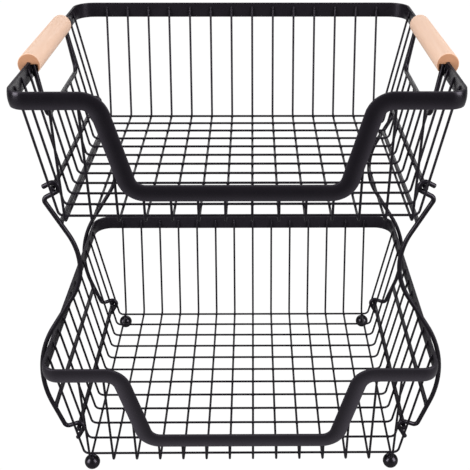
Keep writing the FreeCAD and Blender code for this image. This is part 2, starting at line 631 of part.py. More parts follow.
def foot(side, end):
    """Ball foot with a shallow seat for the outermost floor wire."""
    label = "%s_%s_foot" % (end, side)
    body = new_body(label)
    x_sign = -1 if side == "left" else 1
    y_sign = -1 if end == "front" else 1
    body.setExpression(
        "Placement.Base.x", "%d * (%d - 0.5) * Sizes.long_pitch" % (x_sign, LONG_PAIRS)
    )
    body.setExpression(
        "Placement.Base.y", "%d * (%d - 0.5) * Sizes.cross_pitch" % (y_sign, CROSS_PAIRS)
    )
    half = sketch_on(body, label + "_half", "XZ_Plane")
    radius = "(Sizes.foot_dia / 2)"
    r = value_of(radius)
    circle = Part.Circle(V(0, r, 0), V(0, 0, 1), r)
    bow = half.addGeometry(Part.ArcOfCircle(circle, -math.pi / 2, math.pi / 2))
    chord = half.addGeometry(Part.LineSegment(V(0, 2 * r, 0), V(0, 0, 0)))
    half.addConstraint(Sketcher.Constraint("Coincident", bow, 2, chord, 1))
    half.addConstraint(Sketcher.Constraint("Coincident", chord, 2, bow, 1))
    half.addConstraint(Sketcher.Constraint("Coincident", chord, 2, -1, 1))
    half.addConstraint(Sketcher.Constraint("PointOnObject", bow, 3, -2))
    half.addConstraint(Sketcher.Constraint("Vertical", chord))
    bind(half, "Radius", (bow,), radius)
    ball = body.newObject("PartDesign::Revolution", label + "_ball")
    ball.Profile = half
    ball.ReferenceAxis = (half, ["V_Axis"])
    ball.Angle = 360
    seat = sketch_on(body, label + "_seat", "XZ_Plane")
    wire_level = "(Sizes.foot_dia - Sizes.foot_seat + Sizes.weld_gap + Sizes.wire_dia / 2)"
    disc = seat.addGeometry(
        Part.Circle(V(0, value_of(wire_level), 0), V(0, 0, 1), size("wire_dia") / 2 + size("weld_gap"))
    )
    place(seat, disc, 3, "0", wire_level)
    bind(seat, "Diameter", (disc,), "Sizes.wire_dia + 2 * Sizes.weld_gap")
    trough = body.newObject("PartDesign::Pocket", label + "_trough")
    trough.Profile = seat
    trough.Midplane = True
    trough.setExpression("Length", "Sizes.foot_dia + Sizes.cut_overrun")
    return body


for tier_name, tier_level in TIERS.items():
    rim(tier_name, tier_level)
    long_wires(tier_name, tier_level)
    cross_wires(tier_name, tier_level)
    for side_name in ("left", "right"):
        rail(tier_name, side_name, tier_level)

BAR_RISE = "(Sizes.top_bar_level - Sizes.waist_level)"
BEND_RISE = "(%s * sin(Sizes.top_lean))" % WAIST_RADIUS
BEND_OUT = "(%s - sqrt(%s ^ 2 - min(%s; %s) ^ 2))" % (WAIST_RADIUS, WAIST_RADIUS, BAR_RISE, BEND_RISE)
RUN_OUT = "tan(Sizes.top_lean) * max(0; %s - %s)" % (BAR_RISE, BEND_RISE)
TOP_BAR_OUT = "(Sizes.waist_half + %s + %s)" % (BEND_OUT, RUN_OUT)
FOOT_BAR_OUT = (
    "(%s + Sizes.bulge_radius * cos(Sizes.foot_lean) - tan(Sizes.foot_lean)"
    " * (%s - Sizes.bulge_radius * sin(Sizes.foot_lean) - Sizes.foot_bar_level))"
) % (BULGE_CENTRE, BULGE_LEVEL)
for side_name in ("left", "right"):
    hand_frame(side_name)
    grip(side_name)
    crossbar(side_name, "upper", "Sizes.top_bar_level", TOP_BAR_OUT)
    crossbar(side_name, "lower", "Sizes.foot_bar_level", FOOT_BAR_OUT)
    for end_name in ("front", "rear"):
        leg(side_name, end_name)
        foot(side_name, end_name)

doc.recompute()
nodes = [o for o in doc.Objects if o.TypeId in ("PartDesign::Body", "Part::Cylinder")]
for item in doc.Objects:
    bad = [state for state in item.State if state in ("Invalid", "Error")]
    if bad:
        raise RuntimeError("%s: %s" % (item.Label, bad))
for node in nodes:
    if node.Shape.isNull() or not node.Shape.isValid():
        raise RuntimeError("%s has no valid shape" % node.Label)
os.makedirs("parts", exist_ok=True)
for node in nodes:
    node.Shape.exportStep("parts/%s.step" % node.Label)
print(len(nodes), "nodes", sum(len(node.Shape.Solids) for node in nodes), "solids")
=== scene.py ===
import json
import math

import bmesh
import bpy
from mathutils import Matrix, Vector


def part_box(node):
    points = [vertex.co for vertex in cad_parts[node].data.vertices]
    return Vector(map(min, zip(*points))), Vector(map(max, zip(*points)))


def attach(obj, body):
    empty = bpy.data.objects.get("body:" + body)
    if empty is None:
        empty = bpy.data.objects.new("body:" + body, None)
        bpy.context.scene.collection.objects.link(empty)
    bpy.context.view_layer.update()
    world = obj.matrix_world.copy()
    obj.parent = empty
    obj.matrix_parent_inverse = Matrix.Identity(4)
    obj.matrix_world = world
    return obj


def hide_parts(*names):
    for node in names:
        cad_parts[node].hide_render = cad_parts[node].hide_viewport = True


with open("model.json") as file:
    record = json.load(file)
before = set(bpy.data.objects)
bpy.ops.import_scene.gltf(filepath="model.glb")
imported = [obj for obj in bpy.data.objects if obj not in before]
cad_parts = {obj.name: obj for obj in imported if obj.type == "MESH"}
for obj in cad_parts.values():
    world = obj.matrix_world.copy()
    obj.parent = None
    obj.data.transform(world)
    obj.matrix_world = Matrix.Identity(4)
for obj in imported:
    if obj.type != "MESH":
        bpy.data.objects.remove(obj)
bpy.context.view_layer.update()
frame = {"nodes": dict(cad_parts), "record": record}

# Two-tier wire basket: satin black coated rims, wires and rods, gloss ball feet, pale wooden grips
NODES = frame["nodes"]
TIER_BODY = {"lower": "lower_tray_and_frames", "upper": "upper_tray"}
SIDE_SIGN = {"left": -1, "right": 1}
UPWARD = Vector((0, 0, 1))
MM = 0.001

# Stock and bends, as on the solids
WIRE = 2.5 * MM
ROD = 4.8 * MM
BAND_WIDTH = 16.3 * MM
BAND_THICK = 2.5 * MM
HALF_THICK = BAND_THICK / 2
RIM_CORNER = 17.5 * MM
DIP_HALF = 98.5 * MM
DIP_BEND = 18.0 * MM
DIP_LEAN = math.radians(14.2)
FRONT_LEAN = math.radians(8.0)

# Rim bands: rounder back corners than the solids, soft coated edges and a crowned outer face
BACK_CORNER = 22.5 * MM
BAND_COAT = 0.2 * MM
BAND_EDGE = 0.5 * MM
BAND_HALF = BAND_WIDTH / 2 + BAND_COAT
BAND_FLAT = BAND_HALF - BAND_EDGE
INNER_FLAT = BAND_FLAT - BAND_EDGE
INNER_SLACK = 0.03 * MM
INNER_PLACE = 0.9
SIDE_CROWN = 0.45 * MM
FRONT_CROWN = 0.8 * MM
CORNER_CROWN = 1.0 * MM
CROWN_STEPS = 6
EDGE_STEPS = 4
BEND_STEP = math.radians(6)
LEAST_BEND_STEPS = 2

# How the flat cut ends of wires and rods are told from the other faces of the solids
SAME_SPOT = 0.001 * MM
SAME_FACING = 0.99995
END_AREA_SHARES = (0.9, 1.1)
END_REACH_SHARE = 0.55

# Weld beads as half sizes (two across, one along), and the wire tips that are carried up the band
CROSSING_LUMP = Vector((0.72, 0.72, 0.42)) * WIRE
TIP_LUMP = Vector((0.53, 0.53, 0.7)) * WIRE
TIP_LEAN = 0.2 * MM
TIP_REACHES = [k * 1.5 * MM for k in range(-1, 3)]
HAND_BAR_LUMP = Vector((0.7, 0.7, 0.5)) * WIRE
RAIL_LUMP = Vector((0.45, 0.45, 0.6)) * WIRE
CROSSBAR_COLLAR = Vector((0.6, 0.6, 0.3)) * ROD
FOOT_CUP = Vector((1.05, 1.05, 0.4)) * WIRE
HAND_ARM_LUMP = Vector((0.3, 0.45, 1.4)) * ROD
WELD_UNEVENNESS = 0.1
WELD_SEED = 7
LUMP_SEGMENTS = 10
LUMP_RINGS = 6

# Low domes over the cut ends
END_DOME = 0.55 * MM
DOME_INSET = 0.03 * MM

# Black powder coats
COAT_GLINT = (0.92, 0.84, 1.0, 1.0)
SATIN_LOOK = dict(
    coat=(0.0044, 0.0036, 0.0054, 1.0), bloom=(0.0078, 0.0066, 0.0094, 1.0),
    peel=1100.0, bright=0.30, dull=0.40, specular=0.33, relief=0.12,
)
BAND_LOOK = dict(
    coat=(0.0020, 0.0014, 0.0027, 1.0), bloom=(0.0032, 0.0025, 0.0041, 1.0),
    peel=1100.0, bright=0.24, dull=0.31, specular=0.32, relief=0.08,
)
BALL_LOOK = dict(
    coat=(0.004, 0.0036, 0.0046, 1.0), bloom=(0.006, 0.0054, 0.0068, 1.0),
    peel=420.0, bright=0.21, dull=0.28, specular=0.42, relief=0.03,
)
PATCH_SCALE = 60.0
PEEL_DETAIL = 2.0
PATCH_DETAIL = 3.0
GLOSS_RANGE = {"From Min": 0.3, "From Max": 0.7}
BLOOM_RANGE = {"From Min": 0.45, "From Max": 0.8}
RELIEF_DEPTH = 0.1 * MM

# Painted sheen across a rim band, paler stripes of colour standing in for light caught from above and from
# the floor: (place from the lower to the upper edge, share of the paler painted tone)
BAND_PAINTED_SHEEN = {
    "lower": ((0.0, 1.0), (0.2, 0.75), (0.45, 0.42), (0.7, 0.2), (0.9, 0.14), (1.0, 0.262)),
    "upper": ((0.0, 0.55), (0.15, 0.36), (0.35, 0.12), (0.6, 0.0), (0.85, 0.06), (1.0, 0.225)),
}
# Paler tone of the painted sheen on the rim bands, a painted reflection
PAINTED_SHEEN_TONE = (0.056, 0.050, 0.062, 1.0)
BAND_SPAN = {"From Min": -1.0, "From Max": 1.0}
DULL_EDGE = {"From Min": 0.94, "From Max": 1.0, "To Min": 0.0, "To Max": 0.6}
NEW_STOP = 0.5

# Pale wood of the grips, its noises stretched along them
WOOD_PALE = (0.84, 0.57, 0.425, 1.0)
WOOD_WARM = (0.82, 0.548, 0.40, 1.0)
WOOD_FLECK = (0.66, 0.41, 0.28, 1.0)
WOOD_END = (0.475, 0.232, 0.125, 1.0)
WOOD_END_RING = (0.462, 0.224, 0.12, 1.0)
PITH_ASIDE = 14.0 * MM
PITH_UP = 22.0 * MM
RING_PITCH = 2.6 * MM
RING_WANDER = dict(stretch=(60, 9, 60), detail=2.0)
STREAK_GRAIN = dict(stretch=(420, 14, 420), detail=4.0)
PORE_GRAIN = dict(stretch=(2400, 60, 2400), detail=2.0)
RING_RANGE = {"From Min": -0.4, "From Max": 1.2}
STREAK_RANGE = {"From Min": 0.35, "From Max": 0.75}
PORE_RANGE = {"From Min": 0.62, "From Max": 0.8}
CUT_END_RANGE = {"From Min": 0.55, "From Max": 0.9}
WOOD_ROUGHNESS = {"To Min": 0.5, "To Max": 0.62}
RING_SHARE = 0.15
PORE_SHARE = 0.35
PORE_DEPTH = 0.8
WOOD_RELIEF = 0.12

# Camera of the photograph, in its 470 pixel square frame, with its angles in radians
FRAME_PIXELS = 470
FOCAL_PIXELS = 903.5
MIDDLE_PIXEL = (234.5, 234.5)
AXIS_PIXEL = (259.85, 240.65)
SENSOR = 36.0
CAMERA_AT = Vector((13.59, -918.84, 664.35)) * MM
CAMERA_DIP = 0.46471
CAMERA_YAW = 0.008422
CAMERA_ROLL = 0.001485
CAMERA_REACH = 24.0

# Studio in metres and watts: floor and room are full white to the camera and dim to all else
FLOOR_HALF = 6.0
FLOOR_DROP = 0.1 * MM
FLOOR_LOOK = {"Roughness": 0.7, "Specular IOR Level": 0.2}
FLOOR_SWEEP = {"From Min": 0.5, "From Max": 1.1, "To Min": 0.24, "To Max": 0.95}
FULL_WHITE = 1.02
ROOM_GLOW = {"To Min": 0.06, "To Max": FULL_WHITE}
ROOM_COLOUR = (1.0, 1.0, 1.0, 1.0)
LIGHT_TARGET = Vector((0, 0, 0.2))
SOFT_BOXES = {
    "overhead_softbox": dict(place=(0, 0.2, 2.0), width=1.2, height=1.2, watts=9),
    "left_softbox": dict(place=(-1.42, -0.92, 0.9), width=0.9, height=1.55, watts=38),
    "right_softbox": dict(place=(1.42, -0.88, 0.95), width=0.9, height=1.55, watts=38),
    "rear_softbox": dict(place=(0, 2.4, 1.1), width=2.6, height=0.9, watts=14),
}


# Shared steps

def new_piece(name, mesh, finish):
    """Object at the origin from a finished bmesh, smooth and in one finish."""
    data = bpy.data.meshes.new(name)
    mesh.to_mesh(data)
    mesh.free()
    data.polygons.foreach_set("use_smooth", [True] * len(data.polygons))
    data.materials.append(finish)
    piece = bpy.data.objects.new(name, data)
    bpy.context.scene.collection.objects.link(piece)
    return piece


def new_finish(name):
    """Material with its node tree and its main shader."""
    finish = bpy.data.materials.new(name)
    finish.use_nodes = True
    return finish, finish.node_tree, finish.node_tree.nodes["Principled BSDF"]


def set_inputs(node, values):
    """Constants on a node's sockets, by their labels."""
    for label, value in values.items():
        node.inputs[label].default_value = value


def colour_sockets(sockets):
    return [s for s in sockets if s.type == "RGBA"]


def ranged(tree, value, ends):
    """Value brought from one range to another."""
    node = tree.nodes.new("ShaderNodeMapRange")
    set_inputs(node, ends)
    tree.links.new(value, node.inputs["Value"])
    return node.outputs["Result"]


def number(tree, operation, one, two=None):
    """Result of one sum on sockets or plain numbers."""
    node = tree.nodes.new("ShaderNodeMath")
    node.operation = operation
    for socket, value in zip(node.inputs, (one, two)):
        if isinstance(value, (int, float)):
            socket.default_value = value
        elif value is not None:
            tree.links.new(value, socket)
    return node.outputs[0]


def mixed(tree, factor, one, two):
    """Colour between two others, each a socket or a plain colour."""
    node = tree.nodes.new("ShaderNodeMix")
    node.data_type = "RGBA"
    tree.links.new(factor, node.inputs["Factor"])
    for socket, value in zip(colour_sockets(node.inputs), (one, two)):
        if isinstance(value, tuple):
            socket.default_value = value
        else:
            tree.links.new(value, socket)
    return colour_sockets(node.outputs)[0]


def add_relief(tree, shader, height, strength):
    """Fine relief of a finish."""
    bump = tree.nodes.new("ShaderNodeBump")
    set_inputs(bump, {"Strength": strength, "Distance": RELIEF_DEPTH})
    tree.links.new(height, bump.inputs["Height"])
    tree.links.new(bump.outputs["Normal"], shader.inputs["Normal"])


# Rim bands

def rounded_corner(before, corner, after, radius):
    """Points of the bend that takes a sharp corner's place."""
    back = (before - corner).normalized()
    ahead = (after - corner).normalized()
    half = back.angle(ahead) / 2
    centre = corner + (back + ahead).normalized() * (radius / math.sin(half))
    first = corner + back * (radius / math.tan(half)) - centre
    turn = math.pi - 2 * half
    steps = max(LEAST_BEND_STEPS, round(turn / BEND_STEP))
    sign = 1 if back.cross(ahead) < 0 else -1
    return [centre + Matrix.Rotation(sign * turn * k / steps, 2) @ first for k in range(steps + 1)]


def bent_line(corners, radii):
    """Flat line through the corners, each inner one rounded."""
    corners = [Vector(c) for c in corners]
    points = [corners[0]]
    for before, corner, after, radius in zip(corners, corners[1:], corners[2:], radii):
        points += rounded_corner(before, corner, after, radius)
    return points + [corners[-1]]


def rim_stations(node):
    """Right half of a rim's centre line, back middle to front middle: (point, slant, crown) along it."""
    low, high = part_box(node)
    level = high.z - BAND_WIDTH / 2
    dip_level = low.z + BAND_WIDTH / 2
    side = high.x - HALF_THICK
    back = high.y - HALF_THICK
    bend = RIM_CORNER - HALF_THICK
    slanted = Vector((0, -math.sin(FRONT_LEAN), math.cos(FRONT_LEAN)))

    def front(z):
        return low.y + HALF_THICK / math.cos(FRONT_LEAN) + (high.z - z) * math.tan(FRONT_LEAN)

    def crown(p):
        if p.y > 0:
            return SIDE_CROWN
        turned = math.acos(min(1.0, max(0.0, (p.x - side + bend) / bend)))
        share = turned / (math.pi / 2)
        return SIDE_CROWN + (FRONT_CROWN - SIDE_CROWN) * share + CORNER_CROWN * math.sin(2 * turned)

    round_corners = [(0, back), (side, back), (side, front(level)), (-side, front(level))]
    plan = bent_line(round_corners, [BACK_CORNER - HALF_THICK, bend])[:-1]
    stations = [(Vector((p.x, p.y, level)), UPWARD if p.y > 0 else slanted, crown(p)) for p in plan]
    shoulder = DIP_HALF + math.tan(DIP_LEAN) * (level - dip_level)
    dip = [(side - bend, level), (shoulder, level), (DIP_HALF, dip_level), (0, dip_level)]
    face = bent_line(dip, [DIP_BEND, DIP_BEND])[1:]
    stations += [(Vector((p.x, front(p.y), p.y)), slanted, FRONT_CROWN) for p in face]
    return stations


def band_section(crown):
    """Section of the band as (up, out) pairs: flat inside, crowned outside, round edges."""
    points = []
    for up, out, quarter in ((1, 1, 0), (-1, 1, 1), (-1, -1, 2), (1, -1, 3)):
        centre = Vector((up * BAND_FLAT, out * (HALF_THICK - BAND_EDGE)))
        for k in range(EDGE_STEPS + 1):
            angle = (quarter + k / EDGE_STEPS) * math.pi / 2
            points.append(centre + BAND_EDGE * Vector((math.cos(angle), math.sin(angle))))
        if quarter == 0:
            run = [BAND_FLAT * (1 - 2 * k / CROWN_STEPS) for k in range(1, CROWN_STEPS)]
            points += [Vector((u, HALF_THICK)) for u in run]
        if quarter == 2:
            points += [Vector((-INNER_FLAT, -HALF_THICK)), Vector((INNER_FLAT, -HALF_THICK))]
    crowned = []
    for up, out in points:
        share = max(0.0, out / HALF_THICK)
        crowned.append((up, out + share * crown * (1 - (up / BAND_HALF) ** 2)))
    return crowned


def place_across(up, out):
    """Place of a section's point across the band: -1 low to 1 high, and one place for the flat inside."""
    if out < 0 and abs(up) < INNER_FLAT + INNER_SLACK:
        return INNER_PLACE
    return 2 * up / BAND_WIDTH


def coated_rim(node, finish):
    """Rim band with soft edges, drawn once round its centre line."""
    right = rim_stations(node)
    mirrored = [(Vector((-p.x, p.y, p.z)), slant, crown) for p, slant, crown in reversed(right[1:-1])]
    loop = right + mirrored
    mesh = bmesh.new()
    rings = []
    for index, (point, slant, crown) in enumerate(loop):
        before, after = loop[index - 1][0], loop[(index + 1) % len(loop)][0]
        along = ((point - before).normalized() + (after - point).normalized()).normalized()
        out = slant.cross(along).normalized()
        up = along.cross(out)
        rings.append([mesh.verts.new(point + up * u + out * o) for u, o in band_section(crown)])
    count = len(rings[0])
    for one, two in zip(rings, rings[1:] + rings[:1]):
        for k in range(count):
            mesh.faces.new((one[k], one[(k + 1) % count], two[(k + 1) % count], two[k]))
    bmesh.ops.recalc_face_normals(mesh, faces=mesh.faces)
    piece = new_piece(node + "_coated", mesh, finish)
    across = piece.data.attributes.new("across", "FLOAT", "POINT")
    places = [place_across(u, o) for u, o in band_section(SIDE_CROWN)]
    across.data.foreach_set("value", places * len(loop))
    return piece


# Welds and wire ends, read from the solids

def flat_region(face, seen):
    """Faces that join up with this one and lie flat with it, all noted as seen."""
    seen.add(face)
    region, rest = [face], [face]
    while rest:
        for edge in rest.pop().edges:
            for near in edge.link_faces:
                if near not in seen and near.normal.dot(face.normal) > SAME_FACING:
                    seen.add(near)
                    region.append(near)
                    rest.append(near)
    return region


def tube_ends(node, diameter):
    """Cut ends of the round stock in a node: (centre, way the end points) of each."""
    mesh = bmesh.new()
    mesh.from_mesh(NODES[node].data)
    bmesh.ops.remove_doubles(mesh, verts=mesh.verts, dist=SAME_SPOT)
    mesh.normal_update()
    full = math.pi * diameter ** 2 / 4
    least, most = END_AREA_SHARES
    seen = set()
    ends = []
    for face in mesh.faces:
        if face in seen:
            continue
        region = flat_region(face, seen)
        spots = {v.co.copy().freeze() for f in region for v in f.verts}
        centre = sum(spots, Vector()) / len(spots)
        reach = max((s - centre).length for s in spots)
        area = sum(f.calc_area() for f in region)
        if least < area / full < most and reach < END_REACH_SHARE * diameter:
            ends.append((centre, face.normal.copy()))
    mesh.free()
    return ends


def wire_nodes(tier, kind):
    """Nodes of a tray's floor-length wires (long) or cross wires (cross)."""
    return sorted(n for n in NODES if n.startswith("%s_%s_wires_" % (tier, kind)))


def spread_of(node, axis):
    """How far the two wires of a node stand from the middle."""
    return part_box(node)[1][axis] - WIRE / 2


def crossing_welds(tier):
    """Welds where the wires of the floor cross."""
    spots = []
    for across in wire_nodes(tier, "cross"):
        y, z = spread_of(across, 1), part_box(across)[0].z
        for along in wire_nodes(tier, "long"):
            x = spread_of(along, 0)
            places = [Vector((sx * x, sy * y, z)) for sx in (1, -1) for sy in (1, -1)]
            spots += [(place, UPWARD, CROSSING_LUMP) for place in places]
    return spots


def end_welds(tier):
    """Welds between the wire ends and the rim, or the bar of a hand hole."""
    rim_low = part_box(tier + "_rim")[1].z - BAND_WIDTH
    spots = []
    for kind, axis in (("long", 1), ("cross", 0)):
        for node in wire_nodes(tier, kind):
            for centre, way in tube_ends(node, WIRE):
                out = Vector((0, 0, 0))
                out[axis] = math.copysign(1, centre[axis])
                front = kind == "long" and centre.y < 0
                if front or centre.z > rim_low:
                    tip = centre + out * TIP_LEAN
                    spots += [(tip + way * reach, way, TIP_LUMP) for reach in TIP_REACHES]
                else:
                    spots.append((centre, way, HAND_BAR_LUMP))
    return spots


def rail_welds(tier):
    """Welds between the hook rails and the side wires that they cross."""
    spots = []
    for side, sign in SIDE_SIGN.items():
        low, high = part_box("%s_%s_rail" % (tier, side))
        middle = (low + high) / 2
        for node in wire_nodes(tier, "cross"):
            way = max(tube_ends(node, WIRE), key=lambda end: sign * end[0].x)[1]
            inward = Vector((-sign * abs(way.z), 0, abs(way.x)))
            for y in (spread_of(node, 1), -spread_of(node, 1)):
                if low.y < y < high.y:
                    spot = Vector((middle.x, y, middle.z)) + inward * ROD / 2
                    spots.append((spot, way, RAIL_LUMP))
    return spots


def frame_welds():
    """Welds of the crossbars on the legs and of the ball feet under the wires."""
    spots = []
    for node in NODES:
        if node.endswith("_crossbar"):
            spots += [(centre, way, CROSSBAR_COLLAR) for centre, way in tube_ends(node, ROD)]
        if node.endswith("_foot"):
            low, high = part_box(node)
            top = Vector(((low.x + high.x) / 2, (low.y + high.y) / 2, high.z))
            spots.append((top, UPWARD, FOOT_CUP))
    return spots


def hand_welds():
    """Welds of the arms of the hand-hole frames on the inside of the rim."""
    spots = []
    for side, sign in SIDE_SIGN.items():
        out = Vector((sign, 0, 0)) * ROD / 2
        for centre, way in tube_ends("upper_%s_hand_frame" % side, ROD):
            spots.append((centre - way * ROD + out, way, HAND_ARM_LUMP))
    return spots


def rounded_ends(nodes, diameter):
    """Low domes over the cut ends of round stock."""
    across = diameter / 2 - DOME_INSET
    dome = Vector((across, across, END_DOME * diameter / WIRE))
    return [(centre, way, dome) for node in nodes for centre, way in tube_ends(node, diameter)]


def lump_tree():
    """Small rounded lumps, one at each point, aimed and stretched by the point's own attributes."""
    tree = bpy.data.node_groups.new("weld_lumps", "GeometryNodeTree")
    sockets = {
        "Points": ("INPUT", "NodeSocketGeometry", None),
        "Segments": ("INPUT", "NodeSocketInt", LUMP_SEGMENTS),
        "Rings": ("INPUT", "NodeSocketInt", LUMP_RINGS),
        "Unevenness": ("INPUT", "NodeSocketFloat", 0.0),
        "Seed": ("INPUT", "NodeSocketInt", WELD_SEED),
        "Finish": ("INPUT", "NodeSocketMaterial", None),
        "Lumps": ("OUTPUT", "NodeSocketGeometry", None),
    }
    for name, (way, kind, start) in sockets.items():
        socket = tree.interface.new_socket(name, in_out=way, socket_type=kind)
        if start is not None:
            socket.default_value = start

    def node(kind, **settings):
        made = tree.nodes.new(kind)
        for key, value in settings.items():
            setattr(made, key, value)
        return made

    start, end = node("NodeGroupInput"), node("NodeGroupOutput")
    ball = node("GeometryNodeMeshUVSphere")
    ball.inputs["Radius"].default_value = 1.0
    aim = node("GeometryNodeInputNamedAttribute", data_type="FLOAT_VECTOR")
    aim.inputs["Name"].default_value = "aim"
    reach = node("GeometryNodeInputNamedAttribute", data_type="FLOAT_VECTOR")
    reach.inputs["Name"].default_value = "reach"
    turn = node("FunctionNodeAlignRotationToVector", axis="Z")
    least = node("ShaderNodeMath", operation="SUBTRACT")
    least.inputs[0].default_value = 1.0
    most = node("ShaderNodeMath", operation="ADD")
    most.inputs[0].default_value = 1.0
    vary = node("FunctionNodeRandomValue", data_type="FLOAT")
    stretch = node("ShaderNodeVectorMath", operation="SCALE")
    spread = node("GeometryNodeInstanceOnPoints")
    real = node("GeometryNodeRealizeInstances")
    smooth = node("GeometryNodeSetShadeSmooth")
    paint = node("GeometryNodeSetMaterial")
    numbers = [s for s in vary.inputs if s.type == "VALUE" and s.enabled]
    links = [
        (start.outputs["Segments"], ball.inputs["Segments"]),
        (start.outputs["Rings"], ball.inputs["Rings"]),
        (start.outputs["Points"], spread.inputs["Points"]),
        (ball.outputs["Mesh"], spread.inputs["Instance"]),
        (aim.outputs["Attribute"], turn.inputs["Vector"]),
        (turn.outputs["Rotation"], spread.inputs["Rotation"]),
        (start.outputs["Unevenness"], least.inputs[1]),
        (start.outputs["Unevenness"], most.inputs[1]),
        (least.outputs[0], numbers[0]),
        (most.outputs[0], numbers[1]),
        (start.outputs["Seed"], vary.inputs["Seed"]),
        (reach.outputs["Attribute"], stretch.inputs[0]),
        ([o for o in vary.outputs if o.enabled][0], stretch.inputs["Scale"]),
        (stretch.outputs[0], spread.inputs["Scale"]),
        (spread.outputs["Instances"], real.inputs["Geometry"]),
        (real.outputs["Geometry"], smooth.inputs["Geometry"]),
        (smooth.outputs["Geometry"], paint.inputs["Geometry"]),
        (start.outputs["Finish"], paint.inputs["Material"]),
        (paint.outputs["Geometry"], end.inputs["Lumps"]),
    ]
    for source, target in links:
        tree.links.new(source, target)
    return tree


def lumps(name, tree, spots, unevenness, finish, body):
    """One plain mesh of all the lumps of a body."""
    points = bpy.data.meshes.new(name + "_points")
    points.from_pydata([spot for spot, way, size in spots], [], [])
    for label, index in (("aim", 1), ("reach", 2)):
        attribute = points.attributes.new(label, "FLOAT_VECTOR", "POINT")
        attribute.data.foreach_set("vector", [c for spot in spots for c in spot[index]])
    piece = bpy.data.objects.new(name, points)
    bpy.context.scene.collection.objects.link(piece)
    maker = piece.modifiers.new("maker", "NODES")
    maker.node_group = tree
    named = {i.name: i.identifier for i in tree.interface.items_tree if i.in_out == "INPUT"}
    maker[named["Unevenness"]] = unevenness
    maker[named["Finish"]] = finish
    seen = piece.evaluated_get(bpy.context.evaluated_depsgraph_get())
    made = bpy.data.meshes.new_from_object(seen)
    made.name = name
    piece.modifiers.clear()
    piece.data = made
    bpy.data.meshes.remove(points)
    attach(piece, body)


# Finishes

def coat_skin():
    """Baked powder coat: orange peel, patches a little duller, and a grey bloom here and there."""
    group = bpy.data.node_groups.new("coat_skin", "ShaderNodeTree")
    sockets = {
        "INPUT": {
            "Coat": "NodeSocketColor", "Bloom": "NodeSocketColor", "Peel": "NodeSocketFloat",
            "Patches": "NodeSocketFloat", "Dull": "NodeSocketFloat", "Bright": "NodeSocketFloat",
        },
        "OUTPUT": {
            "Colour": "NodeSocketColor", "Roughness": "NodeSocketFloat", "Height": "NodeSocketFloat",
        },
    }
    for way, kinds in sockets.items():
        for label, kind in kinds.items():
            group.interface.new_socket(label, in_out=way, socket_type=kind)
    new, link = group.nodes.new, group.links.new
    start, end = new("NodeGroupInput"), new("NodeGroupOutput")
    place = new("ShaderNodeTexCoord")

    def noise(size, detail):
        node = new("ShaderNodeTexNoise")
        node.inputs["Detail"].default_value = detail
        link(place.outputs["Object"], node.inputs["Vector"])
        link(start.outputs[size], node.inputs["Scale"])
        return node.outputs["Fac"]

    peel = noise("Peel", PEEL_DETAIL)
    patches = noise("Patches", PATCH_DETAIL)
    gloss = new("ShaderNodeMapRange")
    set_inputs(gloss, GLOSS_RANGE)
    link(patches, gloss.inputs["Value"])
    link(start.outputs["Bright"], gloss.inputs["To Min"])
    link(start.outputs["Dull"], gloss.inputs["To Max"])
    veil = ranged(group, patches, BLOOM_RANGE)
    link(mixed(group, veil, start.outputs["Coat"], start.outputs["Bloom"]), end.inputs["Colour"])
    link(gloss.outputs["Result"], end.inputs["Roughness"])
    link(peel, end.inputs["Height"])
    return group


def coated(name, skin, coat, bloom, peel, bright, dull, specular, relief):
    """Black powder coat in one gloss."""
    finish, tree, shader = new_finish(name)
    set_inputs(shader, {"Specular IOR Level": specular, "Specular Tint": COAT_GLINT})
    texture = tree.nodes.new("ShaderNodeGroup")
    texture.node_tree = skin
    set_inputs(texture, {
        "Coat": coat, "Bloom": bloom, "Peel": peel, "Patches": PATCH_SCALE, "Dull": dull, "Bright": bright,
    })
    tree.links.new(texture.outputs["Colour"], shader.inputs["Base Color"])
    tree.links.new(texture.outputs["Roughness"], shader.inputs["Roughness"])
    add_relief(tree, shader, texture.outputs["Height"], relief)
    return finish


def band_coat(name, skin, painted_sheen, **look):
    """Black coat of a rim band, with a painted sheen that is paler towards its edges, standing in for
    light caught there, and dull along the top one.
    """
    finish = coated(name, skin, **look)
    tree = finish.node_tree
    shader = tree.nodes["Principled BSDF"]
    colour = shader.inputs["Base Color"].links[0].from_socket
    gloss = shader.inputs["Roughness"].links[0].from_socket
    across = tree.nodes.new("ShaderNodeAttribute")
    across.attribute_name = "across"
    # Painted sheen: share of the paler tone at each place across the band, standing in for light and
    # reflection
    sheen_ramp = tree.nodes.new("ShaderNodeValToRGB")
    sheen_ramp.color_ramp.interpolation = "B_SPLINE"
    stops = sheen_ramp.color_ramp.elements
    while len(stops) < len(painted_sheen):
        stops.new(NEW_STOP)
    for stop, (place, share) in zip(stops, painted_sheen):
        stop.position = place
        stop.color = (share, share, share, 1.0)
    tree.links.new(ranged(tree, across.outputs["Fac"], BAND_SPAN), sheen_ramp.inputs["Fac"])
    sheened_colour = mixed(tree, sheen_ramp.outputs["Color"], colour, PAINTED_SHEEN_TONE)
    tree.links.new(sheened_colour, shader.inputs["Base Color"])
    edge = ranged(tree, across.outputs["Fac"], DULL_EDGE)
    tree.links.new(number(tree, "MAXIMUM", gloss, edge), shader.inputs["Roughness"])
    return finish


